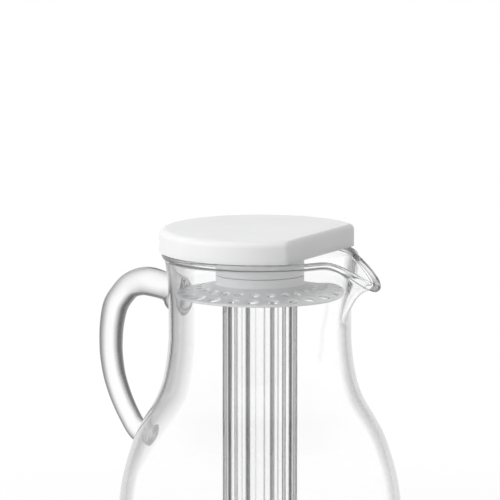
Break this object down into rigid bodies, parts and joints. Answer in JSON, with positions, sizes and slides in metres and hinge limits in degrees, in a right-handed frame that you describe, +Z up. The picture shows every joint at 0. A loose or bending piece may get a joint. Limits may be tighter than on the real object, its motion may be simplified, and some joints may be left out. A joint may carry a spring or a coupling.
{
  "type": "pitcher with ice core",
  "caption": "Clear round-bellied pitcher with a pulled spout and a rod handle, and a white lid with a strainer plate that carries a fluted ice core tube.",
  "frame": {"origin": "centre of the flat face that the pitcher stands on", "axes": "+Z up along the axis of the pitcher, +X towards the spout, -X towards the handle"},
  "size_m": [0.2092, 0.183, 0.2463],
  "materials": {
    "clear_wall": "clear and glossy, with slightly uneven walls",
    "clear_handle": "clear and glossy solid rod",
    "clear_core": "clear moulded acrylic, glossy, fluted",
    "seal_rubber": "translucent silicone, satin",
    "white_strainer": "moulded white plastic, satin",
    "white_neck": "moulded white plastic, satin",
    "white_cover": "moulded white plastic, soft gloss"
  },
  "bodies": {
    "pitcher": {"pitcher_body": "clear_wall", "handle": "clear_handle"},
    "core": {"core_tube": "clear_core"},
    "strainer": {"strainer": "white_strainer"},
    "lid": {"lid_neck": "white_neck", "lid_cover": "white_cover", "core_seal": "seal_rubber"}
  },
  "joints": [
    {"name": "core_lift", "type": "slide", "parent": "pitcher", "child": "core", "axis": [0, 0, 1], "range_m": [0, 0.205]},
    {"name": "lid_off", "type": "slide", "parent": "core", "child": "strainer", "axis": [0, 0, 1], "range_m": [0, 0.05]},
    {"name": "lid_turn", "type": "hinge", "parent": "strainer", "child": "lid", "pos_m": [0, 0, 0.22], "axis": [0, 0, 1], "continuous": true}
  ]
}
